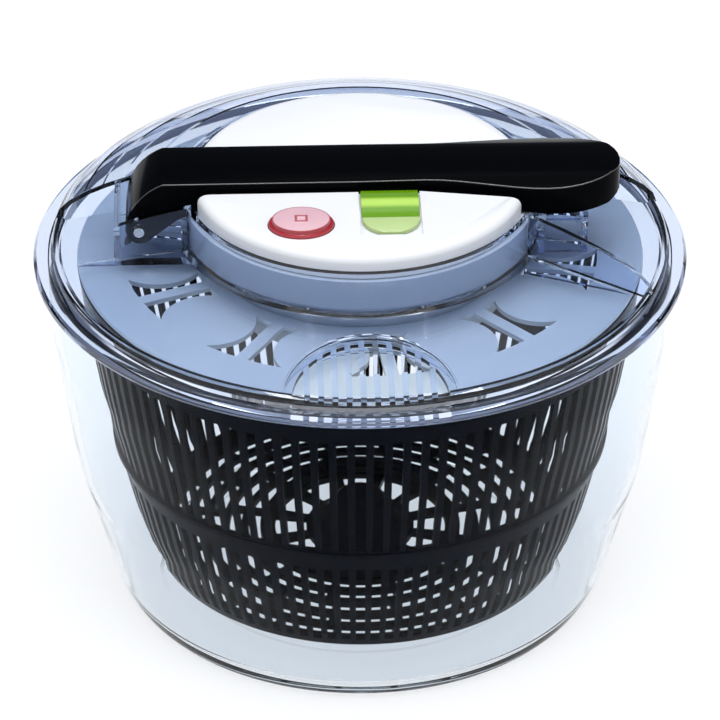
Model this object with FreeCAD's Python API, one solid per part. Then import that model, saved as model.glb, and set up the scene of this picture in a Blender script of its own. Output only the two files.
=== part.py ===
import FreeCAD, Part
import math
import os

V = FreeCAD.Vector

# Salad spinner, in millimetres. Z is up, the table is z = 0 and the spin axis is the Z axis.
# The lever lies along X with its pivot at -X; the pouring strainer is at -Y.
Z_RIM = 145.0            # height of the middle of the lid's flange

# bowl
BOWL_OUTER = [(82.0, 0.0), (88.0, 0.0), (93.0, 1.6), (96.5, 6.5), (100.0, 16.0), (104.6, 34.5),
              (108.2, 48.4), (111.5, 61.5), (115.4, 89.0), (118.0, 109.3), (119.2, 121.7),
              (119.6, 143.0)]
BOWL_WALL = 2.8
BOWL_FLOOR_TOP = 4.6
NUB_TOP = 25.6           # top of the pivot in the bowl's floor

# basket
BASKET_OUTER = [(78.5, 15.0), (81.5, 17.0), (85.0, 24.5), (90.3, 42.0), (94.5, 61.0),
                (102.0, 96.0), (105.5, 120.0), (108.2, 142.0)]
BASKET_WALL = 1.8
BASKET_FLOOR_TOP = 17.4
SLITS = 96
UPPER_SLITS = (70.5, 124.5, 4.0)      # bottom, top, width
LOWER_SLITS = (20.5, 60.5, 3.4)

# spinning disc under the lid
DISC_R = 108.2
DISC_TOP = Z_RIM - 0.8
DISC_T = 1.8
DISH_R = 60.0            # where the disc dips under the gear housing
DISH_TOP = Z_RIM - 12.0
WINDOW_GROUPS = 10
WINDOW_PHASE = -12.5
WINDOW_R = (64.0, 91.0)
WINDOW_LOBE_R = 17.7
WINDOW_BAR = 5.0

# lid
WALL = 2.2
FLANGE_R = 125.0
TURRET_R = 68.5
TURRET_TOP = Z_RIM + 29.0
DOME = [(118.3, 2.0), (118.0, 5.6), (116.8, 9.0), (113.2, 12.6), (107.2, 16.4), (100.0, 19.6),
        (92.0, 22.5), (82.0, 25.8), (70.0, 28.8), (64.0, 30.0)]
TROUGH_Y = 17.5          # half width of the lever's trough across the lid
DOME_RIGHT_Y = 22.5      # the dome stands further back beside the lever's wide tip
BOX_X = -93.5            # outer face of the pivot box
BOX_Y = 18.5
BOX_BOTTOM = Z_RIM + 3.8
REST_X = 86.0            # outer face of the post the lever's tip rests on
REST_Y = 14.0
REST_TOP = Z_RIM + 24.0
RIB_ANGLE = -24.0        # the front right rib, degrees about Z
SPOUT_R = 28.5
SPOUT_Y = -112.5
SPOUT_RIBS = 10
SPOUT_PITCH = 5.1
SPOUT_RIB_W = 2.1

# gear housing under the cover
CUP_R = 56.0
RING_R = 65.7
CUP_FLOOR = (Z_RIM - 10.0, Z_RIM - 8.0)
CUP_LEDGE = Z_RIM + 12.3

# cover
COVER_R = 64.0
COVER_TOP = Z_RIM + 34.0
COVER_BOTTOM = Z_RIM + 25.0
CHANNEL_Y = 16.5

# lever
PIVOT = (-84.0, Z_RIM + 19.0)          # x, z of the hinge pin
LEVER_TOP = Z_RIM + 39.0
LEVER_TIP = 98.8
LEVER_WAIST = 14.1       # half width where the lever is narrowest
PADDLE_Y = 19.6          # half width of the thumb end
LEVER_WALL = 2.2

# gear train, module 1
MODULE = 1.0
BACKLASH = 0.50          # taken off each tooth's thickness
SECTOR_TEETH = 108       # teeth the full circle would have
PINION_TEETH = 10
CROWN_TEETH = 20
WHEEL_TEETH = 44
OUTPUT_TEETH = 12
MESH_ANGLE = -2.0        # direction from the lever pin to the rack pinion, degrees
CROWN_FACE_Y = 7.6       # tips of the crown teeth
SECTOR_Y = (-12.15, -9.35)

PINION_X = PIVOT[0] + 59.0 * math.cos(math.radians(MESH_ANGLE))
PINION_Z = PIVOT[1] + 59.0 * math.sin(math.radians(MESH_ANGLE))
WHEEL_Y = math.sqrt(28.0 ** 2 - PINION_X ** 2)
SHAFT_R = 3.0

# stop button and latch
BUTTON = (-23.2, -40.2)
BUTTON_AXES = (12.2, 10.4)
LATCH_X = (-0.6, 21.2)
LATCH_Y = (-48.0, -17.0)


def revolve(points):
    """A solid of revolution about Z from (radius, height) pairs."""
    wire = Part.makePolygon([V(r, 0, z) for r, z in points] + [V(points[0][0], 0, points[0][1])])
    return Part.Face(wire).revolve(V(0, 0, 0), V(0, 0, 1), 360)


def lifted(points, rise=Z_RIM):
    """The same profile, moved up."""
    return [(r, z + rise) for r, z in points]


def box(x, y, z):
    return Part.makeBox(x[1] - x[0], y[1] - y[0], z[1] - z[0], V(x[0], y[0], z[0]))


def rod(radius, start, end):
    a, b = V(*start), V(*end)
    return Part.makeCylinder(radius, (b - a).Length, a, b - a)


def tube(outer, inner, start, end):
    return rod(outer, start, end).cut(rod(inner, start, end))


def prism(points, z):
    """A flat outline of (x, y) pairs made into a block between two heights."""
    wire = Part.makePolygon([V(x, y, z[0]) for x, y in points] + [V(points[0][0], points[0][1], z[0])])
    return Part.Face(wire).extrude(V(0, 0, z[1] - z[0]))


def side_prism(points, y):
    """An outline of (x, z) pairs made into a block between two values of y."""
    wire = Part.makePolygon([V(x, y[0], z) for x, z in points] + [V(points[0][0], y[0], points[0][1])])
    return Part.Face(wire).extrude(V(0, y[1] - y[0], 0))


def upright(shape):
    """Turn a shape drawn on the XY plane so its y axis points up and its z axis points to -Y."""
    turned = shape.copy()
    turned.rotate(V(0, 0, 0), V(1, 0, 0), 90)
    return turned


def around(shape, count, first=0.0):
    """Copies of a shape spaced evenly about Z."""
    copies = []
    for k in range(count):
        c = shape.copy()
        c.rotate(V(0, 0, 0), V(0, 0, 1), first + 360.0 * k / count)
        copies.append(c)
    return copies


def arc(cx, cy, r, a0, a1, steps=8):
    """Points along an arc, angles in degrees."""
    angles = [math.radians(a0 + (a1 - a0) * k / steps) for k in range(steps + 1)]
    return [(cx + r * math.cos(a), cy + r * math.sin(a)) for a in angles]


def ring_sector(r0, r1, a0, a1, z):
    """A curved block between two radii and two angles."""
    return prism(arc(0, 0, r1, a0, a1) + arc(0, 0, r0, a1, a0), z)


# ---------------------------------------------------------------- gears

def tooth_half_angle(teeth, r):
    """Half the angle a tooth covers at radius r, in radians."""
    pitch_r = MODULE * teeth / 2.0
    base = pitch_r * math.cos(math.radians(20))

    def inv(a):
        return math.tan(a) - a

    half = (math.pi * MODULE / 2.0 - BACKLASH) / 2.0 / pitch_r
    angle = math.acos(min(1.0, base / max(r, base)))
    return half + inv(math.radians(20)) - inv(angle)


def gear_outline(teeth, first, count=None):
    """Outline points of a spur gear, or of some of its teeth; one tooth is centred on `first` degrees."""
    pitch_r = MODULE * teeth / 2.0
    tip = pitch_r + 0.85 * MODULE
    root = pitch_r - 1.2 * MODULE
    points = []
    for k in range(count or teeth):
        c = math.radians(first + 360.0 * k / teeth)
        radii = [root] + [root + (tip - root) * j / 5.0 for j in range(1, 6)]
        rising = [(r, c - tooth_half_angle(teeth, r)) for r in radii]
        falling = [(r, c + tooth_half_angle(teeth, r)) for r in reversed(radii)]
        points += [(r * math.cos(a), r * math.sin(a)) for r, a in rising + falling]
    return points


def spur(teeth, first, centre, z):
    gear = prism(gear_outline(teeth, first), z)
    gear.translate(V(centre[0], centre[1], 0))
    return gear


# ---------------------------------------------------------------- bowl and basket

def inner_profile(outer, wall, floor_top):
    """The inside of a thin bowl: the outer profile moved in by the wall, above the floor."""
    inside = [(r - wall, z) for r, z in outer if z > floor_top + 3.0]
    low_r = inside[0][0]
    return [(0.0, floor_top), (low_r - 6.0, floor_top), (low_r - 1.5, floor_top + 1.6)] + inside


def bowl():
    """Clear serving bowl with a pivot nub in the floor and a foot ring."""
    top = BOWL_OUTER[-1][1]
    outer = revolve([(0.0, 1.4), (79.0, 1.4), (80.5, 0.0)] + BOWL_OUTER + [(0.0, top)])
    inner = revolve(inner_profile(BOWL_OUTER, BOWL_WALL, BOWL_FLOOR_TOP) + [(0.0, top + 0.001)])
    nub = revolve([(0.0, 3.0), (17.0, 3.0), (12.5, 8.0), (8.5, 20.0), (6.0, NUB_TOP - 1.5),
                   (4.5, NUB_TOP), (0.0, NUB_TOP)])
    hollow = revolve([(0.0, 1.0), (14.0, 1.0), (10.0, 7.0), (6.2, 19.5), (3.6, NUB_TOP - 3.0),
                      (0.0, NUB_TOP - 2.6)])
    ledge = revolve([(66.0, 4.0), (70.0, 4.0), (70.0, 5.6), (66.0, 5.6)])
    return outer.cut(inner).fuse(nub).fuse(ledge).cut(hollow).removeSplitter()


def basket():
    """Black strainer basket: two tiers of slits, a slotted floor and a raised hub."""
    top = BASKET_OUTER[-1][1]
    outer = revolve([(0.0, 15.0)] + BASKET_OUTER + [(0.0, top)])
    inner = revolve(inner_profile(BASKET_OUTER, BASKET_WALL, BASKET_FLOOR_TOP) + [(0.0, top + 0.001)])
    shell = outer.cut(inner)
    cutters = []
    for low, high, width in (UPPER_SLITS, LOWER_SLITS):
        cutter = box((76.0, 112.0), (-width / 2, width / 2), (low, high))
        cutters += around(cutter, SLITS, 180.0 / SLITS)
    for r0, r1, count in ((40.0, 44.6, 12), (47.5, 52.1, 12), (55.0, 59.6, 16), (62.5, 67.1, 16),
                          (70.0, 74.6, 20)):
        half = 180.0 / count - math.degrees(1.3 / r0)
        cutters += around(ring_sector(r0, r1, -half, half, (14.0, 19.0)), count)
    cutters += around(ring_sector(21.5, 34.0, -11.0, 11.0, (14.0, 19.0)), 12)
    shell = shell.cut(cutters)
    floor_ring = revolve([(35.0, 16.0), (38.0, 16.0), (38.0, 20.4), (35.0, 20.4)])
    line = revolve([(95.2, 68.0), (97.4, 68.0), (97.4, 69.4), (95.6, 69.4)])
    hub = revolve([(0.0, 15.2), (20.0, 15.2), (20.0, 17.4), (15.5, 21.0), (12.0, 27.0), (10.5, 29.4),
                   (9.0, 30.2), (0.0, 30.2)])
    bore = revolve([(0.0, 15.0), (15.3, 15.0), (12.9, 8.0 + 12.0), (8.9, 20.4 + 2.0),
                    (6.5, NUB_TOP + 0.5), (0.0, NUB_TOP + 0.5)])
    return shell.fuse([floor_ring, line, hub]).cut(bore).removeSplitter()


# ---------------------------------------------------------------- spinning disc

def disc():
    """Grey disc with ten pairs of bow-tie windows, dished in the middle and keyed to the shaft."""
    t = DISC_T
    edge = [(DISC_R - 1.6, DISC_TOP - t - 0.2), (DISC_R - 0.4, DISC_TOP - t), (DISC_R, DISC_TOP - 0.9),
            (DISC_R - 0.4, DISC_TOP)]
    body = revolve([(0.0, DISH_TOP - t), (DISH_R - 3.0, DISH_TOP - t), (DISH_R, DISC_TOP - t)] + edge
                   + [(DISH_R - t, DISC_TOP), (DISH_R - t - 2.6, DISH_TOP), (0.0, DISH_TOP)])
    z = (DISC_TOP - 6.0, DISC_TOP + 2.0)
    step = 360.0 / WINDOW_GROUPS
    lobe_at = (WINDOW_R[0] + WINDOW_R[1]) / 2.0
    sector = ring_sector(WINDOW_R[0], WINDOW_R[1], -step / 2, step / 2, z)
    for side in (-1, 1):
        a = math.radians(side * step / 2)
        centre = (lobe_at * math.cos(a), lobe_at * math.sin(a))
        sector = sector.cut(rod(WINDOW_LOBE_R, centre + (z[0],), centre + (z[1],)))
    sector = sector.cut(box((50.0, 100.0), (-WINDOW_BAR / 2, WINDOW_BAR / 2), z))
    body = body.cut(around(sector, WINDOW_GROUPS, WINDOW_PHASE))
    hub = tube(9.0, SHAFT_R, (0, 0, DISH_TOP - 6.0), (0, 0, DISH_TOP + 0.9))
    return body.cut(rod(6.0, (0, 0, DISH_TOP - 6.0), (0, 0, DISH_TOP + 0.5))).fuse(hub).removeSplitter()


def drive_shaft():
    """Shaft through the housing floor; its head carries the two pawls inside the ratchet gear."""
    shaft = rod(SHAFT_R, (0, 0, DISH_TOP - 6.0), (0, 0, Z_RIM + 2.0))
    head = rod(7.0, (0, 0, Z_RIM + 1.8), (0, 0, Z_RIM + 6.4))
    shaft = shaft.fuse(head)
    for side in (0, 180):
        pocket = box((2.6, 7.5), (-1.6, 1.6), (Z_RIM + 3.4, Z_RIM + 7.0))
        pocket.rotate(V(0, 0, 0), V(0, 0, 1), side)
        shaft = shaft.cut(pocket)
    return shaft.cut(rod(1.2, (0, 0, DISH_TOP - 6.5), (0, 0, DISH_TOP + 3.0)))


def pawls():
    """Two pawls lying drawn in on the shaft's head."""
    pawl = prism([(2.9, -1.3), (6.6, -1.3), (7.9, 0.2), (6.9, 1.3), (2.9, 1.3)], (Z_RIM + 3.4, Z_RIM + 6.0))
    return Part.makeCompound(around(pawl, 2))


def disc_screw():
    head = revolve(lifted([(0.0, -2.2), (5.4, -2.2), (5.4, -1.0), (4.2, 0.0), (0.0, 0.0)], DISH_TOP - 6.0))
    cross = box((-2.2, 2.2), (-0.5, 0.5), (DISH_TOP - 8.5, DISH_TOP - 7.4))
    other = box((-0.5, 0.5), (-2.2, 2.2), (DISH_TOP - 8.5, DISH_TOP - 7.4))
    return head.fuse(rod(1.2, (0, 0, DISH_TOP - 6.5), (0, 0, DISH_TOP + 2.5))).cut([cross, other])


# ---------------------------------------------------------------- lid

def lid_shell():
    """Clear lid: flange, sloping deck, round turret, rear dome, pivot box, rest post and strainer."""
    deck = [(0.0, -1.7), (124.6, -1.7), (FLANGE_R, -0.9), (FLANGE_R, 0.9), (123.8, 2.2), (119.4, 2.2),
            (118.3, 3.0), (117.9, 5.2), (117.1, 6.0), (115.6, 6.0), (114.4, 4.4), (71.0, 11.8),
            (TURRET_R + 0.5, 12.6), (TURRET_R, 14.0), (TURRET_R, 29.0), (0.0, 29.0)]
    deck_in = [(0.0, -1.8), (115.4, -1.8), (115.4, 2.4), (114.2, 2.1), (69.6, 9.7), (0.0, 9.7)]
    dome_out = revolve(lifted([(0.0, -1.0)] + [(118.3, -1.0)] + DOME + [(0.0, 30.0)]))
    dome_in = revolve(lifted([(0.0, -1.8), (115.4, -1.8), (115.7, 5.2), (114.9, 7.8), (111.9, 10.8),
                              (106.2, 14.4), (99.2, 17.5), (91.4, 20.4), (81.4, 23.7), (69.6, 26.6),
                              (TURRET_R, 26.6), (TURRET_R, 9.7), (0.0, 9.7)]))
    rear = rear_region(0.0)
    rear_in = rear_region(WALL)

    pivot_box = box((BOX_X, -60.0), (-BOX_Y, BOX_Y), (BOX_BOTTOM, Z_RIM + 40.0)).common(dome_out)
    rest = box((66.0, REST_X), (-REST_Y, REST_Y), (Z_RIM + 4.0, REST_TOP))
    rib_l = box((-117.6, BOX_X + 1.0), (-TROUGH_Y, -TROUGH_Y + 2.0), (Z_RIM + 3.0, Z_RIM + 40.0))
    rib_r = box((TURRET_R - 1.0, 117.6), (-1.1, 1.1), (Z_RIM + 3.0, Z_RIM + 40.0))
    rib_r.rotate(V(0, 0, 0), V(0, 0, 1), RIB_ANGLE)
    lip = revolve(lifted([(31.4, 3.0), (32.2, 3.0), (32.2, 12.0), (31.4, 12.0)]))
    lip.translate(V(0, SPOUT_Y, 0))
    cone = revolve(lifted([(0.0, 3.0), (114.2, 3.0), (114.2, 5.0), (71.0, 12.5), (0.0, 12.5)]))

    outer = revolve(lifted(deck)).fuse([dome_out.common(rear), pivot_box, rest])
    inner = revolve(lifted(deck_in)).fuse(dome_in.common(rear_in))
    inner = inner.cut([box((BOX_X, -60.0), (-BOX_Y, BOX_Y), (BOX_BOTTOM, Z_RIM + 40.0)),
                       box((66.0, REST_X), (-REST_Y, REST_Y), (Z_RIM + 4.0, REST_TOP))])
    shell = outer.cut(inner)
    well = rod(TURRET_R - WALL, (0, 0, Z_RIM + 12.0), (0, 0, Z_RIM + 40.0))
    throat = rod(57.0, (0, 0, Z_RIM - 3.0), (0, 0, Z_RIM + 14.0))
    box_in = box((BOX_X + WALL, -60.0), (-BOX_Y + WALL, BOX_Y - WALL), (BOX_BOTTOM + WALL, Z_RIM + 40.0))
    box_in = box_in.cut(rod(TURRET_R, (0, 0, Z_RIM), (0, 0, Z_RIM + 12.0)))
    left_gap = box((-70.0, -60.0), (-BOX_Y + WALL, BOX_Y - WALL), (Z_RIM + 12.0, Z_RIM + 40.0))
    rest_in = box((70.0, REST_X - WALL), (-REST_Y + WALL, REST_Y - WALL), (Z_RIM + 1.0, REST_TOP - WALL))
    right_gap = ring_sector(60.0, 69.4, RIB_ANGLE + 0.8, 19.0, (Z_RIM + 21.0, Z_RIM + 40.0))
    shell = shell.fuse([rib_l.common(dome_out), rib_r.common(dome_out), lip.common(cone)])
    shell = shell.cut([well, throat, box_in, left_gap, rest_in, right_gap])
    shell = cut_spout(shell)
    pin = rod(2.05, (PIVOT[0], -BOX_Y - 1.0, PIVOT[1]), (PIVOT[0], BOX_Y + 1.0, PIVOT[1]))
    holes = [rod(1.3, (x, y, Z_RIM + 9.0), (x, y, Z_RIM + 13.0))
             for x, y in screw_places() + cover_screw_places()]
    return shell.cut([pin] + holes).removeSplitter()


def rear_region(inset):
    """The space behind the lever's trough, where the lid rises to its dome."""
    z = (Z_RIM - 3.0, Z_RIM + 40.0)
    return prism([(-130.0, TROUGH_Y + inset), (30.0, TROUGH_Y + inset), (50.0, DOME_RIGHT_Y + inset),
                  (130.0, DOME_RIGHT_Y + inset), (130.0, 130.0), (-130.0, 130.0)], z)


def cut_spout(shell):
    """The half-round strainer at the front: slots between ten ribs."""
    z = (Z_RIM - 3.0, Z_RIM + 14.0)
    window = rod(SPOUT_R, (0, SPOUT_Y, z[0]), (0, SPOUT_Y, z[1]))
    window = window.cut(box((-40.0, 40.0), (-150.0, SPOUT_Y - 1.0), z))
    xs = [(k - (SPOUT_RIBS - 1) / 2.0) * SPOUT_PITCH for k in range(SPOUT_RIBS)]
    ribs = [box((x - SPOUT_RIB_W / 2, x + SPOUT_RIB_W / 2), (-150.0, -70.0), z) for x in xs]
    return shell.cut(window.cut(ribs))


def screw_places():
    """Where the four housing screws stand on the turret's inner ledge."""
    r = 59.4
    return [(r * math.cos(math.radians(a)), r * math.sin(math.radians(a))) for a in (45, 135, 225, 315)]


def gear_housing():
    """Grey cup that holds the gears: ledge on the turret, upper ring, deep cup and bearing floor."""
    ledge = CUP_LEDGE - Z_RIM
    low, top = CUP_FLOOR[0] - Z_RIM, CUP_FLOOR[1] - Z_RIM
    cup = revolve(lifted([(0.0, low), (CUP_R - 1.5, low), (CUP_R, low + 1.5), (CUP_R, ledge),
                          (RING_R, ledge), (RING_R, 24.5), (62.3, 24.5), (62.3, ledge + 2.0),
                          (CUP_R - 2.0, ledge + 2.0), (CUP_R - 2.0, top), (0.0, top)]))
    left = box((-70.0, -50.0), (-BOX_Y + WALL, BOX_Y - WALL), (Z_RIM + 14.3, Z_RIM + 40.0))
    bearing = rod(SHAFT_R + 2.4, (0, 0, CUP_FLOOR[0]), (0, 0, Z_RIM - 4.6))
    post = rod(4.0, (PINION_X, WHEEL_Y, CUP_FLOOR[0]), (PINION_X, WHEEL_Y, Z_RIM - 4.5))
    posts = []
    for y in ((-20.5, -16.2), (37.5, 41.5)):
        posts.append(box((PINION_X - 4.0, PINION_X + 4.0), y, (CUP_FLOOR[0], PINION_Z + 4.0)))
    cup = cup.cut(left).fuse([bearing, post] + posts)
    bores = [rod(SHAFT_R + 0.08, (0, 0, CUP_FLOOR[0] - 1), (0, 0, Z_RIM - 4.0)),
             rod(1.5, (PINION_X, WHEEL_Y, CUP_FLOOR[0] + 1.0), (PINION_X, WHEEL_Y, Z_RIM)),
             rod(1.5, (PINION_X, -21.0, PINION_Z), (PINION_X, 42.0, PINION_Z)),
             rod(5.6, BUTTON + (CUP_FLOOR[0] - 1,), BUTTON + (CUP_FLOOR[1] + 1,))]
    bores += [rod(1.5, (x, y, Z_RIM + 11.0), (x, y, Z_RIM + 16.0)) for x, y in screw_places()]
    cut_bosses = [rod(1.3, (x, y, Z_RIM + 11.0), (x, y, Z_RIM + 25.0)) for x, y in cover_screw_places()]
    bosses = [rod(3.7, (x, y, Z_RIM + 13.0), (x, y, Z_RIM + 23.2)) for x, y in cover_screw_places()]
    return cup.fuse(bosses).cut(bores + cut_bosses).removeSplitter()


def cover_screw_places():
    r = 58.9
    return [(r * math.cos(math.radians(a)), r * math.sin(math.radians(a))) for a in (70, 110, 250, 290)]


def screws(places, z, length, head_r, core_r, heads_up):
    """Cross-head screws whose heads bear on a face at height z."""
    one = revolve([(0.0, 0.0), (head_r, 0.0), (head_r, 1.0), (head_r - 1.0, 1.8), (0.0, 1.8)])
    one = one.fuse(rod(core_r, (0, 0, -length), (0, 0, 0.5)))
    one = one.cut([box((-1.6, 1.6), (-0.4, 0.4), (0.9, 2.0)), box((-0.4, 0.4), (-1.6, 1.6), (0.9, 2.0))])
    made = []
    for x, y in places:
        s = one.copy()
        if not heads_up:
            s.rotate(V(0, 0, 0), V(1, 0, 0), 180)
        s.translate(V(x, y, z))
        made.append(s)
    return Part.makeCompound(made)


def mechanism_cover():
    """White cap: two raised halves with the lever's channel between them."""
    top, low = COVER_TOP - Z_RIM, COVER_BOTTOM - Z_RIM
    r = COVER_R
    rounded = [(r - 3.5 + 3.5 * math.sin(math.radians(a)), top - 3.5 + 3.5 * math.cos(math.radians(a)))
               for a in range(90, -1, -15)]
    inside = [(r - 2.2, top - 4.0), (r - 4.4, top - 2.0)]
    cap = revolve(lifted([(0.0, low), (r, low)] + rounded + [(0.0, top)]))
    hollow = revolve(lifted([(0.0, low - 1), (r - 2.2, low - 1)] + inside + [(0.0, top - 2.0)]))
    shell = cap.cut(hollow)
    channel = prism([(-70.0, -CHANNEL_Y - 1.4), (-58.0, -CHANNEL_Y), (22.0, -CHANNEL_Y), (66.0, -24.0),
                     (66.0, 24.0), (22.0, CHANNEL_Y), (-58.0, CHANNEL_Y), (-70.0, CHANNEL_Y + 1.4)],
                    (Z_RIM + 20.0, Z_RIM + 40.0))
    walls = prism([(-70.0, -CHANNEL_Y - 3.4), (-58.0, -CHANNEL_Y - 2.0), (22.3, -CHANNEL_Y - 2.0),
                   (66.0, -26.0), (66.0, 26.0), (22.3, CHANNEL_Y + 2.0), (-58.0, CHANNEL_Y + 2.0),
                   (-70.0, CHANNEL_Y + 3.4)], (COVER_BOTTOM, COVER_TOP - 1.0)).common(cap)
    bridge = box((-12.0, 54.0), (-CHANNEL_Y - 1.5, CHANNEL_Y + 1.5), (Z_RIM + 22.6, Z_RIM + 25.6))
    shell = shell.fuse(walls).cut(channel).fuse(bridge)
    towers = [tube(3.3, 1.25, (x, y, Z_RIM + 23.4), (x, y, COVER_TOP - 1.5)) for x, y in cover_screw_places()]
    towers = [t.common(cap.fuse(box((-70.0, 70.0), (-70.0, 70.0), (Z_RIM + 23.4, Z_RIM + 26.0))))
              for t in towers]
    well = button_column(2.2, (Z_RIM + 26.0, COVER_TOP - 1.0))
    well_in = button_column(0.35, (Z_RIM + 27.6, COVER_TOP + 2.0))
    stem_hole = rod(5.28, BUTTON + (Z_RIM + 20.0,), BUTTON + (Z_RIM + 36.0,))
    shell = shell.fuse(towers + [well]).cut([well_in, stem_hole, latch_slot()])
    return shell.removeSplitter()


def latch_slot():
    """Sunk bed for the latch and the slot its tongue passes through to the channel."""
    bed = box((LATCH_X[0] - 0.6, LATCH_X[1] + 0.6), (LATCH_Y[0] - 0.4, -15.0),
              (COVER_TOP - 0.9, COVER_TOP + 1.0))
    slot = box((3.0, 17.6), (-40.0, -15.0), (COVER_TOP - 6.0, COVER_TOP))
    return bed.fuse(slot)


def button_column(gap, z):
    """The stop button's oval outline as a block."""
    oval = Part.Ellipse(V(BUTTON[0], BUTTON[1], z[0]), BUTTON_AXES[0] + gap, BUTTON_AXES[1] + gap)
    return Part.Face(Part.Wire([oval.toShape()])).extrude(V(0, 0, z[1] - z[0]))


# ---------------------------------------------------------------- lever

def lever_plan(inset):
    """Half-widths of the lever along its length, as one closed outline."""
    heel = [(-89.3 + inset, 9.5), (-88.6 + 0.9 * inset, 12.0 - 0.4 * inset),
            (-86.8 + 0.7 * inset, 13.8 - 0.7 * inset), (-84.3, 14.5 - inset)]
    waist = heel + [(0.0, 14.5 - inset), (24.0, LEVER_WAIST - inset)]
    for k in range(1, 9):
        t = k / 8.0
        flare = t * t * (3.0 - 2.0 * t)
        waist.append((24.0 + 46.0 * t, LEVER_WAIST + (PADDLE_Y - LEVER_WAIST) * flare - inset))
    reach = LEVER_TIP - 70.0 - inset
    end = []
    for k in range(1, 11):
        a = math.radians(9.0 * k)
        end.append((70.0 + reach * math.sin(a), (PADDLE_Y - inset) * math.cos(a) ** 0.85))
    upper = waist + end[:-1] + [(70.0 + reach, 0.0)]
    return upper + [(x, -h) for x, h in reversed(upper[:-1])]


def lever_side(inset):
    """Side view of the lever: heel at the pin, shoulder, long top and thicker tip."""
    top = LEVER_TOP - inset
    shoulder = arc(-66.3, LEVER_TOP - 23.0, 23.0 - inset, 180.0, 90.0, 10)
    low = 0.0 if inset == 0.0 else -12.0
    tip = LEVER_TIP + 0.2
    under = [(tip, Z_RIM + 36.0), (tip, Z_RIM + 27.4 + low), (94.0, Z_RIM + 25.2 + low),
             (84.0, Z_RIM + 24.6 + low), (70.0, Z_RIM + 24.8 + low), (56.0, Z_RIM + 26.4 + low),
             (40.0, Z_RIM + 28.4 + low), (20.0, Z_RIM + 29.2 + low), (-56.0, Z_RIM + 29.2 + low)]
    heel = [(-70.0, Z_RIM + 22.0 + low), (-78.4, Z_RIM + 15.4 + low)]
    heel += [(x, z + low) for x, z in arc(PIVOT[0], PIVOT[1], 6.6, -40.0, -143.0, 6)]
    return shoulder + [(88.0, top), (tip, top - 1.6)] + under + heel


def lever_solid(inset):
    plan = prism(lever_plan(inset), (Z_RIM - 10.0, Z_RIM + 50.0))
    side = side_prism(lever_side(inset), (-25.0, 25.0))
    crown_r = 62.0 - inset
    crown = rod(crown_r, (-120.0, 0, LEVER_TOP - 62.0), (120.0, 0, LEVER_TOP - 62.0))
    return plan.common(side).common(crown)


def lever_shell():
    """Black lever: a long hollow handle with a rounded top, open underneath."""
    outer = lever_solid(0.0)
    shell = outer.cut(lever_solid(LEVER_WALL))
    pin = rod(2.05, (PIVOT[0], -20.0, PIVOT[1]), (PIVOT[0], 20.0, PIVOT[1]))
    notch = box((3.0, 17.6), (-16.0, -11.0), (COVER_TOP - 3.4, COVER_TOP - 0.4))
    return shell.cut([pin, notch]).removeSplitter()


def lever_rack():
    """Toothed quadrant screwed under the lever."""
    pitch = MODULE * SECTOR_TEETH / 2.0
    step = 360.0 / SECTOR_TEETH
    first = MESH_ANGLE - 0.5 * step - 7 * step
    teeth = gear_outline(SECTOR_TEETH, first, 9)
    inner = arc(0, 0, pitch - 9.0, MESH_ANGLE + 20.0, MESH_ANGLE - 26.0, 12)
    outer = arc(0, 0, pitch - 1.2, MESH_ANGLE + 2.5, MESH_ANGLE + 20.0, 6)
    quadrant = prism(teeth + outer + inner, (0.0, SECTOR_Y[1] - SECTOR_Y[0]))
    quadrant = upright(quadrant)
    quadrant.translate(V(PIVOT[0], SECTOR_Y[1], PIVOT[1]))
    foot = box((-44.0, -30.0), (SECTOR_Y[0], 8.0), (LEVER_TOP - 5.6, LEVER_TOP))
    web = box((-41.0, -33.0), SECTOR_Y, (Z_RIM + 28.0, LEVER_TOP))
    hollow = lever_solid(LEVER_WALL + 0.02)
    return quadrant.fuse([foot.common(hollow), web.common(hollow)]).removeSplitter()


def crown_pinion():
    """Rack pinion and crown gear on one sleeve, turning about a Y axle."""
    face = CROWN_FACE_Y
    pinion = upright(prism(gear_outline(PINION_TEETH, 180.0 + MESH_ANGLE), (0.0, 5.2)))
    pinion.translate(V(0, SECTOR_Y[1] + 0.6, 0))
    sleeve = rod(5.2, (0, SECTOR_Y[1] + 0.5, 0), (0, face - 3.0, 0))
    plate = rod(11.2, (0, face - 4.6, 0), (0, face - 1.9, 0))
    body = pinion.fuse([sleeve, plate])
    teeth = []
    for k in range(CROWN_TEETH):
        tooth = prism([(-0.72, 0.0), (0.72, 0.0), (0.28, 2.2), (-0.28, 2.2)], (0.0, 2.2))
        tooth.translate(V(0, face - 2.2, -11.0))
        tooth.rotate(V(0, 0, 0), V(0, 1, 0), 360.0 * (k + 0.5) / CROWN_TEETH)
        teeth.append(tooth)
    body = body.fuse(teeth).cut(rod(1.58, (0, -30.0, 0), (0, 30.0, 0)))
    body.translate(V(PINION_X, 0, PINION_Z))
    return body.removeSplitter()


def idler_gear():
    """Small upright pinion driven by the crown gear, with the large wheel below it."""
    centre = (PINION_X, WHEEL_Y)
    toward = math.degrees(math.atan2(-WHEEL_Y, -PINION_X))
    wheel = spur(WHEEL_TEETH, toward + 180.0 / WHEEL_TEETH, centre, (Z_RIM - 4.0, Z_RIM - 0.5))
    holes = []
    for a in range(0, 360, 60):
        x = PINION_X + 13.0 * math.cos(math.radians(a))
        y = WHEEL_Y + 13.0 * math.sin(math.radians(a))
        holes.append(rod(4.0, (x, y, Z_RIM - 5.0), (x, y, Z_RIM)))
    small = spur(PINION_TEETH, -90.0, centre, (Z_RIM - 1.0, Z_RIM + 9.4))
    gear = wheel.cut(holes).fuse(small)
    return gear.cut(rod(1.58, centre + (Z_RIM - 6.0,), centre + (Z_RIM + 12.0,))).removeSplitter()


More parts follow.
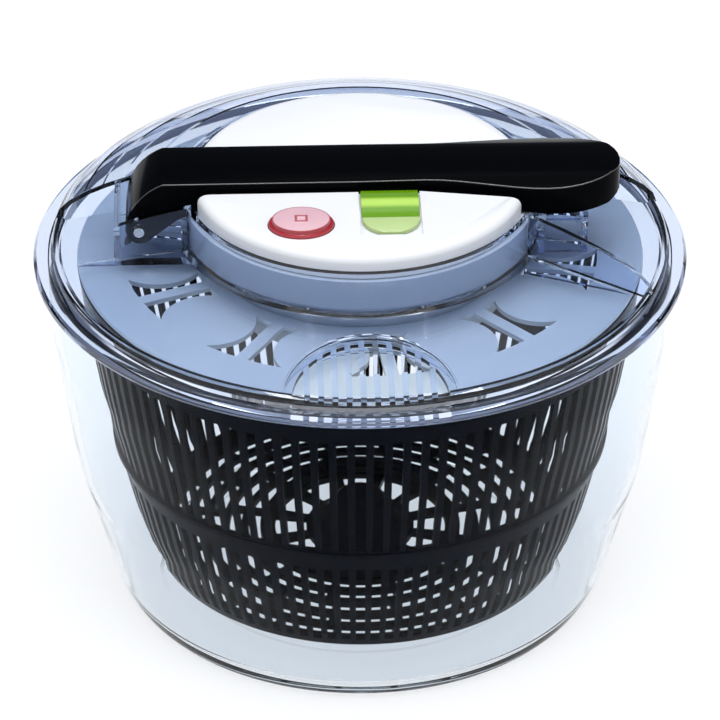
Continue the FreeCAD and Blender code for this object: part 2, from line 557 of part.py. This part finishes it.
def ratchet_gear():
    """Output gear: a small pinion under a drum with saw teeth inside."""
    toward = math.degrees(math.atan2(WHEEL_Y, PINION_X))
    gear = spur(OUTPUT_TEETH, toward, (0.0, 0.0), (Z_RIM - 4.2, Z_RIM + 0.4))
    drum = rod(12.4, (0, 0, Z_RIM + 0.2), (0, 0, Z_RIM + 7.0))
    pocket = []
    for k in range(12):
        a = math.radians(30.0 * k)
        b = math.radians(30.0 * (k + 1))
        pocket += [(10.9 * math.cos(a), 10.9 * math.sin(a)), (9.2 * math.cos(b), 9.2 * math.sin(b))]
    drum = drum.cut(prism(pocket, (Z_RIM + 1.4, Z_RIM + 8.0)))
    return gear.fuse(drum).cut(rod(SHAFT_R + 0.08, (0, 0, Z_RIM - 5.0), (0, 0, Z_RIM + 3.0))).removeSplitter()


# ---------------------------------------------------------------- buttons

def stop_button():
    """Oval red button on a stem that reaches down to the brake pad; a plain square marks it."""
    skirt = button_column(0.0, (COVER_TOP - 2.4, COVER_TOP + 0.9))
    cap = skirt.fuse(button_column(-1.3, (COVER_TOP, COVER_TOP + 2.6)))
    stem = rod(5.2, BUTTON + (Z_RIM - 6.4,), BUTTON + (COVER_TOP - 2.0,))
    collar = rod(7.2, BUTTON + (Z_RIM + 10.0,), BUTTON + (Z_RIM + 12.0,))
    x, y = BUTTON
    square = box((x - 2.4, x + 2.4), (y - 2.4, y + 2.4), (COVER_TOP + 2.4, COVER_TOP + 2.95))
    window = box((x - 1.5, x + 1.5), (y - 1.5, y + 1.5), (COVER_TOP + 2.2, COVER_TOP + 3.5))
    return cap.fuse([stem, collar, square.cut(window)]).removeSplitter()


def brake_pad():
    """Rubber pad under the stem; pressing the button brings it down to the spinning disc."""
    return rod(5.2, BUTTON + (DISH_TOP + 2.8,), BUTTON + (Z_RIM - 6.4,))


def latch_slider():
    """Green latch: a dished thumb step at the lever end, a flat tail and a locking tongue."""
    top = COVER_TOP
    width = (LATCH_X[0], LATCH_X[1])
    profile = [(-47.6, -0.6), (-47.6, 0.9), (-37.4, 1.1), (-36.8, 0.2), (-34.0, 0.0), (-31.0, 0.25),
               (-28.6, 0.9), (-26.6, 1.6), (-24.4, 1.9), (-21.5, 1.7), (-17.6, 1.2), (-17.6, -0.6)]
    wire = [V(width[0], y, top + z) for y, z in profile]
    body = Part.Face(Part.makePolygon(wire + [wire[0]])).extrude(V(width[1] - width[0], 0, 0))
    cx = sum(width) / 2.0
    tail = prism(arc(cx, -37.2, 10.9, 180.0, 360.0, 12) + [(width[1], -10.0), (width[0], -10.0)],
                 (top - 2.0, top + 5.0))
    tongue = box((4.0, 16.6), (-34.0, -15.0), (top - 3.1, top - 0.5))
    return body.common(tail).fuse(tongue).removeSplitter()


def spring_coil(x, y, z0, z1, radius, wire_r, turns):
    """An upright helical spring."""
    rise = z1 - z0 - 2 * wire_r
    rings = []
    for k in range(16 * turns + 1):
        a = math.radians(22.5 * k)
        place = V(x + radius * math.cos(a), y + radius * math.sin(a), z0 + wire_r + rise * k / (16 * turns))
        out, up = V(math.cos(a), math.sin(a), 0), V(0, 0, 1)
        corners = [place + out * (wire_r * math.cos(b)) + up * (wire_r * math.sin(b))
                   for b in (math.radians(45 * j) for j in range(8))]
        rings.append(Part.makePolygon(corners + [corners[0]]))
    return Part.makeLoft(rings, True, True)


def build():
    x, y = BUTTON
    nodes = {
        "bowl": bowl(),
        "basket": basket(),
        "spinning_disc": disc(),
        "drive_shaft": drive_shaft(),
        "ratchet_pawls": pawls(),
        "disc_screw": disc_screw(),
        "lid_shell": lid_shell(),
        "gear_housing": gear_housing(),
        "mechanism_cover": mechanism_cover(),
        "housing_screws": screws(screw_places(), CUP_LEDGE + 2.0, 4.4, 2.6, 1.2, True),
        "cover_screws": screws(cover_screw_places(), Z_RIM + 9.7, 19.0, 2.6, 1.2, False),
        "lever_pin": rod(2.0, (PIVOT[0], -BOX_Y, PIVOT[1]), (PIVOT[0], BOX_Y, PIVOT[1])),
        "crown_axle": rod(1.5, (PINION_X, -20.5, PINION_Z), (PINION_X, 41.5, PINION_Z)),
        "idler_axle": rod(1.5, (PINION_X, WHEEL_Y, CUP_FLOOR[0] + 1.0), (PINION_X, WHEEL_Y, Z_RIM + 10.6)),
        "lever_shell": lever_shell(),
        "lever_rack": lever_rack(),
        "crown_pinion": crown_pinion(),
        "idler_gear": idler_gear(),
        "ratchet_gear": ratchet_gear(),
        "stop_button": stop_button(),
        "stop_spring": spring_coil(x, y, Z_RIM - 8.0, Z_RIM + 10.0, 6.6, 0.45, 6),
        "brake_pad": brake_pad(),
        "latch_slider": latch_slider(),
    }
    os.makedirs("parts", exist_ok=True)
    for name, shape in nodes.items():
        shape.exportStep("parts/" + name + ".step")
        b = shape.BoundBox
        print(name, "solids", len(shape.Solids), "valid", shape.isValid(), "volume %.1f" % shape.Volume,
              "x %.1f..%.1f y %.1f..%.1f z %.1f..%.1f" % (b.XMin, b.XMax, b.YMin, b.YMax, b.ZMin, b.ZMax))


build()
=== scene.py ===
import bpy
import bmesh
import math
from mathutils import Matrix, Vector


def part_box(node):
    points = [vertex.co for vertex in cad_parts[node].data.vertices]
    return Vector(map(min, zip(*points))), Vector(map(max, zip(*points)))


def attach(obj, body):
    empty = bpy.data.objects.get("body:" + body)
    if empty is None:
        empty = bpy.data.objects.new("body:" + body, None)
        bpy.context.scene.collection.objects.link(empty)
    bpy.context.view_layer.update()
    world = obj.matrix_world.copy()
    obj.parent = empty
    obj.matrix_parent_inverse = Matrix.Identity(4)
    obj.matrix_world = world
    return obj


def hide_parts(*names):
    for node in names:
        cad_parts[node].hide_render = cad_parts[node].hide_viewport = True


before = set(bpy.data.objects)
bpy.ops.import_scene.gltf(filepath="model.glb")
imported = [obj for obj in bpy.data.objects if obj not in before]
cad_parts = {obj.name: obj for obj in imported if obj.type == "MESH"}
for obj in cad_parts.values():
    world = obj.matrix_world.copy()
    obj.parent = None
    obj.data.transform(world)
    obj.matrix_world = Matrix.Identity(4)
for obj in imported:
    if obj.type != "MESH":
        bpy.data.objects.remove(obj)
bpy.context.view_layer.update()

# %% [markdown]
# # A salad spinner with a pump lever
#
# The frame that has just been loaded holds every solid piece of the spinner, already in place and
# in metres: z = 0 is the table and the Z axis is the line the basket spins about. The lever lies
# along X, and the pouring strainer looks towards -Y.
#
# This lesson gives those pieces their looks. Some stay as they are and only get a finish. Five
# are made again with rounder shapes, because light shows a hard edge on glossy plastic at once.

# %% The loaded pieces
for node in sorted(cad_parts):
    low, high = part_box(node)
    size = [round((high[i] - low[i]) * 1000, 1) for i in range(3)]
    print(node, size, "mm")


# %% [markdown]
# ## A way to write shader sums
#
# A shader is a small graph. Wiring each sum by hand hides what it does, so the class below lets a
# socket take part in ordinary Python sums, and `Graph.node` makes any other node in one line.

# %% Shader helpers
class Socket:
    """One output of a shader graph that can be added, multiplied and compared."""

    def __init__(self, graph, out):
        self.graph = graph
        self.out = out

    def _sum(self, kind, a, b):
        return self.graph.node("ShaderNodeMath", {"operation": kind}, {0: a, 1: b})

    def __add__(self, other):
        return self._sum("ADD", self, other)

    def __radd__(self, other):
        return self._sum("ADD", other, self)

    def __sub__(self, other):
        return self._sum("SUBTRACT", self, other)

    def __rsub__(self, other):
        return self._sum("SUBTRACT", other, self)

    def __mul__(self, other):
        return self._sum("MULTIPLY", self, other)

    def __rmul__(self, other):
        return self._sum("MULTIPLY", other, self)

    def __truediv__(self, other):
        return self._sum("DIVIDE", self, other)

    def __pow__(self, other):
        return self._sum("POWER", self, other)

    def __gt__(self, other):
        return self._sum("GREATER_THAN", self, other)

    def smooth(self, low, high):
        """0 below low, 1 above high, with a soft step between."""
        settings = {"interpolation_type": "SMOOTHSTEP"}
        return self.graph.node("ShaderNodeMapRange", settings, {0: self, 1: low, 2: high, 3: 0.0, 4: 1.0})


class Graph:
    """The node tree of one new material, with its Principled shader ready."""

    def __init__(self, name):
        self.material = bpy.data.materials.new(name)
        self.material.use_nodes = True
        self.tree = self.material.node_tree
        self.shader = self.tree.nodes["Principled BSDF"]
        self.coords = self.node("ShaderNodeTexCoord", {}, {}, "Object")

    def node(self, kind, settings, sockets, out=0):
        made = self.tree.nodes.new(kind)
        for key, value in settings.items():
            setattr(made, key, value)
        for key, value in sockets.items():
            self.plug(made.inputs[key], value)
        return Socket(self, made.outputs[out])

    def plug(self, target, value):
        if isinstance(value, Socket):
            self.tree.links.new(value.out, target)
        else:
            target.default_value = value

    def noise(self, scale, detail=3.0, roughness=0.55):
        """A cloudy value from 0 to 1; scale is in patches per metre."""
        return self.node("ShaderNodeTexNoise", {}, {"Vector": self.coords, "Scale": scale,
                                                    "Detail": detail, "Roughness": roughness})

    def axis(self, index):
        return self.node("ShaderNodeSeparateXYZ", {}, {0: self.coords}, index)

    def mix(self, amount, a, b):
        """A colour between a and b."""
        made = self.tree.nodes.new("ShaderNodeMix")
        made.data_type = "RGBA"
        for socket, value in ((made.inputs[0], amount), (made.inputs[6], a), (made.inputs[7], b)):
            self.plug(socket, value)
        return Socket(self, made.outputs[2])

    def bump(self, height, distance, strength=1.0):
        return self.node("ShaderNodeBump", {}, {"Height": height, "Distance": distance,
                                                "Strength": strength})

    def set(self, **values):
        """Values or sockets for the Principled shader, named as in Blender with _ for a space."""
        for key, value in values.items():
            self.plug(self.shader.inputs[key.replace("_", " ")], value)
        return self.material


def rgb(r, g, b):
    return (r, g, b, 1.0)


# %% [markdown]
# ## Clear plastics
#
# The bowl is colourless plastic and the lid has a blue tint. Both are clear right through, so they
# use full transmission. Moulded plastic is never quite even: a slow ripple in the surface bends
# what shows behind it, and fine wear dulls it in patches. Real clear plastics bend light more than
# these do, by a factor near 1.5 to 1.6. Lower values are used here so that the nested walls don't
# cover the black basket with reflections of the white floor.

# %% Clear finishes
def clear_plastic(name, pale, deep_tone_and_painted_shade, rough, ripple, ior, mirror):
    """mirror scales the plastic's head-on reflection; its grazing reflection stays bright."""
    g = Graph(name)
    cloud = g.noise(9.0)
    wear = g.noise(70.0, 5.0)
    slow = g.noise(26.0, 1.0)
    return g.set(Base_Color=g.mix(cloud, pale, deep_tone_and_painted_shade), Roughness=wear * 0.03 + rough,
                 Normal=g.bump(slow, ripple), Transmission_Weight=1.0, IOR=ior,
                 Specular_Tint=rgb(mirror, mirror, mirror))


bowl_plastic = clear_plastic("Clear_Bowl_Plastic", rgb(0.91, 0.945, 0.98), rgb(0.875, 0.92, 0.965),
                             0.002, 0.0002, 1.15, 0.0)
lid_plastic = clear_plastic("Blue_Tinted_Lid_Plastic", rgb(0.79, 0.855, 0.98), rgb(0.73, 0.80, 0.96),
                            0.006, 0.0002, 1.40, 1.0)
print("clear finishes:", bowl_plastic.name, lid_plastic.name)

# %% [markdown]
# ## Opaque plastics
#
# The lever and basket are black, polished in the mould. The disc and housing are satin grey and
# the cover glossy white. One function makes them all: two close shades in slow clouds, a
# roughness that drifts, and a very fine grain. Under the gloss the black is deep, so its own
# reflection is held down. The lever's rounded top edge has a second copy of the black that mirrors
# fully: a boosted reflection, there only to brighten the highlight line along that edge. The
# cover's shade is a mid grey, which this studio's strong light turns white.

# %% Opaque finishes
def moulded_plastic(name, shade, other, rough, grain, specular=0.5, coat=0.0):
    g = Graph(name)
    cloud = g.noise(14.0)
    wear = g.noise(120.0, 6.0)
    fine = g.noise(2600.0, 2.0)
    return g.set(Base_Color=g.mix(cloud, shade, other), Roughness=wear * 0.10 + (rough - 0.05),
                 Normal=g.bump(fine, grain), Specular_IOR_Level=specular, Coat_Weight=coat,
                 Coat_Roughness=0.04)


LEVER_SHADES = (rgb(0.0004, 0.0005, 0.0007), rgb(0.0010, 0.0011, 0.0016))
lever_black = moulded_plastic("Lever_Gloss_Black", *LEVER_SHADES, 0.14, 0.000003, 0.02)
# A copy of the black with a full coat, for the rounded top edge only: a boosted reflection that brightens
# the highlight line there.
lever_edge_highlight_copy = moulded_plastic("Lever_Edge_Highlight_Boost", *LEVER_SHADES, 0.14, 0.000003, 0.5, 1.0)
basket_black = moulded_plastic("Basket_Gloss_Black", rgb(0.001, 0.0015, 0.003), rgb(0.003, 0.004, 0.008),
                               0.20, 0.000006, 0.03)
disc_grey = moulded_plastic("Disc_Satin_Grey", rgb(0.53, 0.60, 0.64), rgb(0.47, 0.54, 0.59),
                            0.38, 0.00001)
housing_grey = moulded_plastic("Housing_Satin_Grey", rgb(0.50, 0.56, 0.62), rgb(0.45, 0.51, 0.58),
                               0.42, 0.00001)
cover_white = moulded_plastic("Cover_Gloss_White", rgb(0.60, 0.61, 0.63), rgb(0.57, 0.58, 0.60),
                              0.22, 0.000005)
gear_white = moulded_plastic("Gear_Natural_Acetal", rgb(0.74, 0.72, 0.66), rgb(0.69, 0.67, 0.60),
                             0.34, 0.00001)
pad_rubber = moulded_plastic("Brake_Pad_Rubber", rgb(0.02, 0.02, 0.02), rgb(0.035, 0.035, 0.035),
                             0.75, 0.00006)
print("opaque finishes:", lever_black.name, basket_black.name, disc_grey.name, cover_white.name)

# %% [markdown]
# ## Steel
#
# Pins, screws and the spring are bright plated steel. The plating is slightly uneven, so its
# roughness and its tiny bumps follow the same fine noise.

# %% Steel
def plated_steel():
    g = Graph("Bright_Plated_Steel")
    uneven = g.noise(900.0, 4.0)
    cloud = g.noise(60.0)
    return g.set(Base_Color=g.mix(cloud, rgb(0.62, 0.63, 0.64), rgb(0.72, 0.72, 0.71)),
                 Roughness=uneven * 0.18 + 0.16, Normal=g.bump(uneven, 0.00001), Metallic=1.0)


pin_steel = plated_steel()
print("steel:", pin_steel.name)

# %% [markdown]
# ## The two coloured buttons
#
# The stop button is red plastic that lets some light in. Its pale flat top and deep skirt are
# painted into the colour, as painted light and painted shade for the light's longer path at the edge. The
# square mark moulded on top is darker.
# The latch is pale lime green on its thin tail. Ahead of the tail its colour carries painted shade, a
# deep green for the hollow of its thumb step, with a narrow painted highlight where the step rises.

# %% Button finishes
def stop_red():
    g = Graph("Stop_Button_Red")
    low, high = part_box("stop_button")
    z = g.axis(2)
    x = g.axis(0) - (low[0] + high[0]) / 2
    y = g.axis(1) - (low[1] + high[1]) / 2
    ring = ((x * x) / 0.0109 ** 2 + (y * y) / 0.0091 ** 2) ** 0.5
    # Painted light and shade: the skirt and the outer band of the top take a deep red, and the flat top a
    # pale pink, for the light's longer path through the plastic at the edge.
    rim = 1.0 - (1.0 - ring.smooth(0.93, 0.99)) * (z > high[2] - 0.0012)
    mark = z > high[2] - 0.00015
    deep_tone_and_painted_shade = rgb(0.27, 0.010, 0.018)
    face = g.mix(g.noise(90.0), rgb(0.56, 0.36, 0.40), rgb(0.51, 0.31, 0.35))
    colour = g.mix(mark * 0.8, g.mix(rim, face, deep_tone_and_painted_shade), deep_tone_and_painted_shade)
    return g.set(Base_Color=colour, Roughness=g.noise(150.0) * 0.08 + 0.10,
                 Normal=g.bump(g.noise(700.0), 0.00002), Subsurface_Weight=0.05,
                 Subsurface_Radius=(0.004, 0.001, 0.001), Coat_Weight=0.5)


def latch_green():
    g = Graph("Latch_Lime_Green")
    y = g.axis(1)
    # Painted shade and painted highlight: ahead of the pale tail the colour is a deep green for the
    # hollow of the thumb step, with a light band painted where the step rises.
    tail = 1.0 - y.smooth(-0.0378, -0.0371)
    painted_highlight_band = y.smooth(-0.0300, -0.0275) * (1.0 - y.smooth(-0.0255, -0.0235))
    deep_tone_and_painted_shade = g.mix(painted_highlight_band, rgb(0.10, 0.24, 0.002), rgb(0.30, 0.48, 0.06))
    pale = g.mix(g.noise(120.0), rgb(0.36, 0.46, 0.20), rgb(0.32, 0.43, 0.17))
    return g.set(Base_Color=g.mix(tail, deep_tone_and_painted_shade, pale), Roughness=g.noise(150.0) * 0.08 + 0.12,
                 Normal=g.bump(g.noise(700.0), 0.00002), Subsurface_Weight=0.15,
                 Subsurface_Radius=(0.001, 0.003, 0.001), Coat_Weight=0.5)


button_red = stop_red()
button_green = latch_green()
print("buttons:", button_red.name, button_green.name)

# %% [markdown]
# ## Giving the frame's pieces their finishes
#
# Each piece keeps its own mesh and only takes a material.

# %% Finishes on the frame
finishes = {
    lid_plastic: ["lid_shell"],
    bowl_plastic: ["bowl"],
    basket_black: ["basket"],
    disc_grey: ["spinning_disc"],
    housing_grey: ["gear_housing"],
    cover_white: ["mechanism_cover"],
    lever_black: ["lever_shell"],
    gear_white: ["drive_shaft", "ratchet_pawls", "lever_rack", "crown_pinion", "idler_gear",
                 "ratchet_gear"],
    pin_steel: ["disc_screw", "housing_screws", "cover_screws", "lever_pin", "crown_axle",
                "idler_axle", "stop_spring"],
    pad_rubber: ["brake_pad"],
    button_red: ["stop_button"],
    button_green: ["latch_slider"],
}
for material, names in finishes.items():
    for name in names:
        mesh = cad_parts[name].data
        mesh.materials.clear()
        mesh.materials.append(material)
    print(material.name, "->", ", ".join(names))

# %% [markdown]
# ## Tools for new pieces
#
# A lathe turns a profile about the Z axis. The profile is given as a few points, and a curve
# through them makes it flow, as the real mould's turned surface does.

# %% Shape tools
def flowing(points, steps):
    """More points on a smooth curve through the given ones."""
    ends = [points[0]] + list(points) + [points[-1]]
    out = []
    for k in range(len(points) - 1):
        p0, p1, p2, p3 = (Vector(ends[k + j]) for j in range(4))
        for s in range(steps):
            t = s / steps
            out.append(0.5 * ((2 * p1) + (p2 - p0) * t + (2 * p0 - 5 * p1 + 4 * p2 - p3) * t * t
                              + (3 * p1 - p0 - 3 * p2 + p3) * t ** 3))
    out.append(Vector(points[-1]))
    return [tuple(p) for p in out]


def new_piece(name, bm, material, body, stands_for):
    """Turn a bmesh into an object of the spinner."""
    bmesh.ops.recalc_face_normals(bm, faces=bm.faces)
    mesh = bpy.data.meshes.new(name)
    bm.to_mesh(mesh)
    bm.free()
    made = bpy.data.objects.new(name, mesh)
    bpy.context.scene.collection.objects.link(made)
    mesh.materials.append(material)
    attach(made, body)
    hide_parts(stands_for)
    print(name, len(mesh.polygons), "faces")
    return made


def smooth_under(bm, degrees):
    """Shade softly, but keep edges sharper than the given angle crisp."""
    for face in bm.faces:
        face.smooth = True
    for edge in bm.edges:
        edge.smooth = not edge.is_manifold or edge.calc_face_angle(0.0) < math.radians(degrees)


# %% [markdown]
# ## The bowl
#
# The bowl is one lathe shape with two skins, about 2.8 mm apart. The light that bends through it
# shows every facet, so it is turned finely. Its floor carries the hollow nub the basket spins on.

# %% Bowl
def turned(points, steps):
    """A closed solid turned about Z; points are (radius, height) in millimetres."""
    bm = bmesh.new()
    verts = [bm.verts.new((r * 0.001, 0.0, z * 0.001)) for r, z in points]
    edges = [bm.edges.new(pair) for pair in zip(verts, verts[1:])]
    bmesh.ops.spin(bm, geom=verts + edges, cent=(0, 0, 0), axis=(0, 0, 1), angle=math.tau,
                   steps=steps, use_merge=True)
    bmesh.ops.remove_doubles(bm, verts=bm.verts, dist=0.00001)
    return bm


BOWL_WALL = 2.8
side = [(100.0, 16.0), (104.6, 34.5), (108.2, 48.4), (111.5, 61.5), (115.4, 89.0), (118.0, 109.3),
        (119.2, 121.7), (119.6, 142.4)]
outer_skin = flowing([(88.0, 0.05), (93.0, 1.6), (96.5, 6.5)] + side, 4)
floor_bend = [(95.0, 9.4), (90.0, 5.8), (84.0, 4.7)]
inner_skin = flowing([(r - BOWL_WALL, z) for r, z in reversed(side)] + floor_bend, 4)
rim = [(119.2, 143.0), (117.2, 143.0)]
floor = [(70.2, 4.6), (70.0, 5.6), (66.0, 5.6), (65.8, 4.6)]
nub = flowing([(15.4, 4.6), (12.5, 8.0), (8.5, 20.0), (6.2, 24.1)], 3) + [(4.5, 25.6), (0.0, 25.6)]
hollow = [(0.0, 23.0), (3.6, 22.6), (6.2, 19.5), (10.0, 7.0), (13.7, 1.4), (79.0, 1.4), (80.5, 0.0)]
profile = hollow + outer_skin + rim + inner_skin + floor + nub
bm = turned(profile, 160)
smooth_under(bm, 40)
new_piece("clear_bowl", bm, bowl_plastic, "bowl", "bowl")

# %% [markdown]
# ## The lever
#
# The black lever is the first thing the eye meets. A real moulding has a small radius between its
# crowned top and its sides, and that radius catches the one thin bright line that shows the
# shape. The piece starts from the frame's lever: its loose triangles are joined, the flat parts
# become single faces, and the long top edges are rounded.

# %% Lever
def rounded_copy(node, picks, radius, segments, finish=-1):
    """A joined copy of a frame piece with the picked edges rounded.

    finish is the material number of the new faces; -1 keeps their neighbours' material.
    """
    bm = bmesh.new()
    bm.from_mesh(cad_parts[node].data)
    bmesh.ops.remove_doubles(bm, verts=bm.verts, dist=0.00002)
    bmesh.ops.dissolve_limit(bm, angle_limit=math.radians(1.5), verts=bm.verts, edges=bm.edges)
    chosen = [e for e in bm.edges if e.is_manifold and picks(e)]
    bmesh.ops.bevel(bm, geom=chosen, offset=radius, offset_type="OFFSET", segments=segments,
                    profile=0.5, affect="EDGES", clamp_overlap=True, material=finish)
    print(node, "rounded edges:", len(chosen))
    return bm


RIM_TOP = 0.145          # height of the bowl's rim, where the lid rests


def lever_top_edge(edge):
    """The long edges between the lever's crowned top and its sides, not the pin end's edges."""
    a, b = (v.co for v in edge.verts)
    high = min(a.z, b.z) > RIM_TOP + 0.0255
    outer = edge.calc_face_angle(0.0) > math.radians(40)
    wide = max(abs(a.y), abs(b.y)) > 0.0135 or max(a.x, b.x) > 0.090
    normals = [f.normal.z for f in edge.link_faces]
    return high and outer and wide and max(normals) > 0.3 and a.x > -0.088


bm = rounded_copy("lever_shell", lever_top_edge, 0.0024, 5, 1)
smooth_under(bm, 32)
lever = new_piece("pump_lever", bm, lever_black, "lever", "lever_shell")
# The rounded edge faces take the boosted-reflection copy, for a brighter highlight line.
lever.data.materials.append(lever_edge_highlight_copy)

# %% [markdown]
# ## The white cover
#
# The cover's outer edge rolls over in a broad radius, and that roll shades from white to grey
# towards the front. It is what makes the cover look like a shallow dome and not a cut disc. The
# frame's piece already has the roll. The copy joins its triangles so that the roll shades softly,
# and rounds the few sharp edges left where the roll is cut.

# %% Cover
COVER_TOP = RIM_TOP + 0.034


def cover_roll_edge(edge):
    """Top edges near the cover's rim, where a flat face meets a steep one."""
    normals = [f.normal.z for f in edge.link_faces]
    a, b = (v.co for v in edge.verts)
    outside = min(a.xy.length, b.xy.length) > 0.058
    return outside and min(a.z, b.z) > COVER_TOP - 0.0015 and max(normals) > 0.8 and min(normals) < 0.6


bm = rounded_copy("mechanism_cover", cover_roll_edge, 0.0030, 5)
smooth_under(bm, 32)
new_piece("turret_cover", bm, cover_white, "lid", "mechanism_cover")

# %% [markdown]
# ## The stop button and the latch
#
# Both are small mouldings that fingers press, so their top edges are well rounded. Only the edges
# that look upwards are softened; the stem and skirt inside the cover stay as they are.

# %% Stop button and latch
def button_edge(edge):
    """Edges round the button's flat faces, above the cover."""
    normals = [f.normal.z for f in edge.link_faces]
    high = min(v.co.z for v in edge.verts) > COVER_TOP + 0.0005
    return high and max(normals) > 0.9 and min(normals) < 0.5


def latch_edge(edge):
    """Edges round the latch's top, where it meets its steep sides."""
    normals = [f.normal.z for f in edge.link_faces]
    high = min(v.co.z for v in edge.verts) > COVER_TOP - 0.0002
    return high and max(normals) > 0.5 and min(normals) < 0.3


bm = rounded_copy("stop_button", button_edge, 0.0007, 3)
smooth_under(bm, 30)
new_piece("stop_cap", bm, button_red, "stop", "stop_button")
bm = rounded_copy("latch_slider", latch_edge, 0.0005, 3)
smooth_under(bm, 30)
new_piece("latch_cap", bm, button_green, "latch", "latch_slider")

# %% [markdown]
# ## Floor, light and camera
#
# A plain pale floor and an even, bright surround keep the clear plastic clean. The floor glows a
# little, like a light table, so no dark shadow shows through the bowl. The sky is dark
# low down behind the spinner: that is what its flat tops mirror, so the black lever stays black
# and the lid stays clear. A broad box overhead lights the floor, and a long strip in front gives
# the lever its one bright edge line. Clear parts nest here, so light needs many bounces.

# %% Stage
def stage_floor():
    """A wide sheet of pale paper at z = 0 that gives off some light of its own."""
    bm = bmesh.new()
    bmesh.ops.create_grid(bm, x_segments=2, y_segments=2, size=6.0)
    mesh = bpy.data.meshes.new("floor")
    bm.to_mesh(mesh)
    bm.free()
    made = bpy.data.objects.new("floor", mesh)
    bpy.context.scene.collection.objects.link(made)
    g = Graph("Studio_Paper")
    shade = g.mix(g.noise(2.0), rgb(0.24, 0.24, 0.25), rgb(0.28, 0.28, 0.28))
    mesh.materials.append(g.set(Base_Color=shade, Roughness=g.noise(40.0) * 0.1 + 0.8,
                                Specular_IOR_Level=0.1, Emission_Color=rgb(0.97, 0.985, 1.0),
                                Emission_Strength=0.74))


def area_light(name, place, target, size, power):
    """A soft rectangular light at a place, turned to face a target; sizes in metres, power in watts."""
    light = bpy.data.lights.new(name, "AREA")
    light.shape = "RECTANGLE"
    light.size, light.size_y = size
    light.energy = power
    made = bpy.data.objects.new(name, light)
    made.location = place
    made.rotation_euler = (Vector(target) - Vector(place)).to_track_quat("-Z", "Y").to_euler()
    bpy.context.scene.collection.objects.link(made)
    return made


def studio_world():
    """Bright in front and overhead, dark low down behind, so flat glossy tops mirror no glare."""
    made = bpy.data.worlds.new("Studio")
    made.use_nodes = True
    tree = made.node_tree
    way = tree.nodes.new("ShaderNodeSeparateXYZ")
    tree.links.new(tree.nodes.new("ShaderNodeTexCoord").outputs["Generated"], way.inputs[0])
    ramp_y = tree.nodes.new("ShaderNodeMapRange")
    ramp_z = tree.nodes.new("ShaderNodeMapRange")
    for ramp, out, low, high in ((ramp_y, 1, 0.15, 0.45), (ramp_z, 2, 0.80, 0.60)):
        ramp.interpolation_type = "SMOOTHSTEP"
        ramp.inputs[1].default_value = low
        ramp.inputs[2].default_value = high
        tree.links.new(way.outputs[out], ramp.inputs[0])
    dark = tree.nodes.new("ShaderNodeMath")
    dark.operation = "MULTIPLY"
    tree.links.new(ramp_y.outputs[0], dark.inputs[0])
    tree.links.new(ramp_z.outputs[0], dark.inputs[1])
    tint = tree.nodes.new("ShaderNodeMix")
    tint.data_type = "RGBA"
    tint.inputs[6].default_value = rgb(1.02, 1.05, 1.10)
    tint.inputs[7].default_value = rgb(0.16, 0.18, 0.24)
    tree.links.new(dark.outputs[0], tint.inputs[0])
    climb = tree.nodes.new("ShaderNodeMapRange")
    for socket, value in ((1, -0.1), (2, 0.7), (3, 0.62), (4, 1.05)):
        climb.inputs[socket].default_value = value
    tree.links.new(way.outputs[2], climb.inputs[0])
    tree.links.new(climb.outputs[0], tree.nodes["Background"].inputs[1])
    tree.links.new(tint.outputs[2], tree.nodes["Background"].inputs[0])
    bpy.context.scene.world = made


stage_floor()
studio_world()
area_light("overhead_box", (0.0, -0.1, 1.9), (0, 0, 0.1), (1.6, 1.2), 22)
area_light("edge_strip", (0.05, -0.82, 1.45), (0, 0, 0.17), (1.7, 0.07), 9)
LIGHT_BOUNCES = 28
cycles = bpy.context.scene.cycles
cycles.max_bounces = LIGHT_BOUNCES
cycles.transmission_bounces = LIGHT_BOUNCES
cycles.transparent_max_bounces = 16
print("stage and lights made")


# %% [markdown]
# ## Camera
#
# A long lens from well back keeps the round lid from looking stretched. It looks down by about a
# third of a right angle, high enough to show the cover's buttons and low enough to show the basket.

# %% Camera
DISTANCE = 1.600
ELEVATION = math.radians(32.2)
TURN = math.radians(-2.0)
AIM = Vector((0.0, 0.0, 0.0940))

camera = bpy.data.cameras.new("camera")
camera.sensor_width = 36.0
camera.lens = 205.0
camera.clip_end = 20.0
eye = bpy.data.objects.new("camera", camera)
away = Vector((math.sin(TURN) * math.cos(ELEVATION), -math.cos(TURN) * math.cos(ELEVATION),
               math.sin(ELEVATION)))
eye.location = AIM + away * DISTANCE
eye.rotation_euler = (-away).to_track_quat("-Z", "Y").to_euler()
bpy.context.scene.collection.objects.link(eye)
bpy.context.scene.camera = eye
bpy.context.scene.view_settings.view_transform = "Standard"
print("camera at", [round(v, 3) for v in eye.location])
